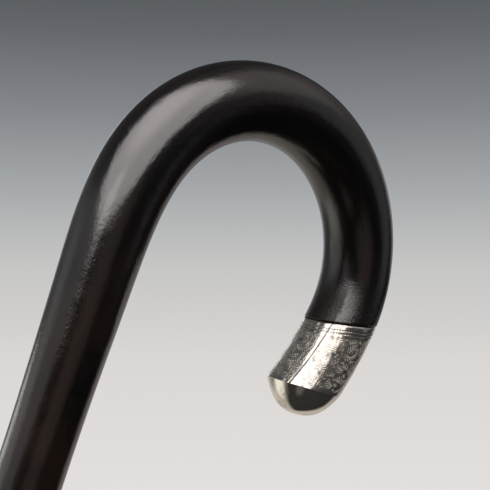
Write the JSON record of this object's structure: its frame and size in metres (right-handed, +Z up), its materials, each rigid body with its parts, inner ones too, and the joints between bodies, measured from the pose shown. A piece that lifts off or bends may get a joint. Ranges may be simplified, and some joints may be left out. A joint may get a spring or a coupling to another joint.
{
  "type": "crook-handled walking stick",
  "caption": "Walking stick of bent ebonised wood with a crook handle, an engraved silver nose cap and a brass and steel ferrule at the foot.",
  "frame": {"origin": "centre of the flat foot face, the bottom of the steel ferrule tip", "axes": "+Z up along the straight shank, +X the way the crook turns and its nose hangs, +Y across the crook. The crook's centreline lies in the XZ plane."},
  "size_m": [0.1234, 0.0254, 0.915],
  "materials": {
    "ebonised_wood": "ebonised hardwood under semi-gloss lacquer",
    "silver": "engraved sterling silver with tarnish in the cuts, plain polished end",
    "pitch_cement": "shellac and pitch cement, reddish brown and dull",
    "brass": "worn satin brass",
    "steel": "turned steel, scuffed by the ground"
  },
  "bodies": {
    "root": {"stick": "ebonised_wood", "cap_sleeve": "silver", "cap_dome": "silver", "cap_pin": "silver", "cap_cement": "pitch_cement", "ferrule_sleeve": "brass", "ferrule_pin_left": "brass", "ferrule_pin_right": "brass", "ferrule_tip": "steel"}
  },
  "joints": []
}
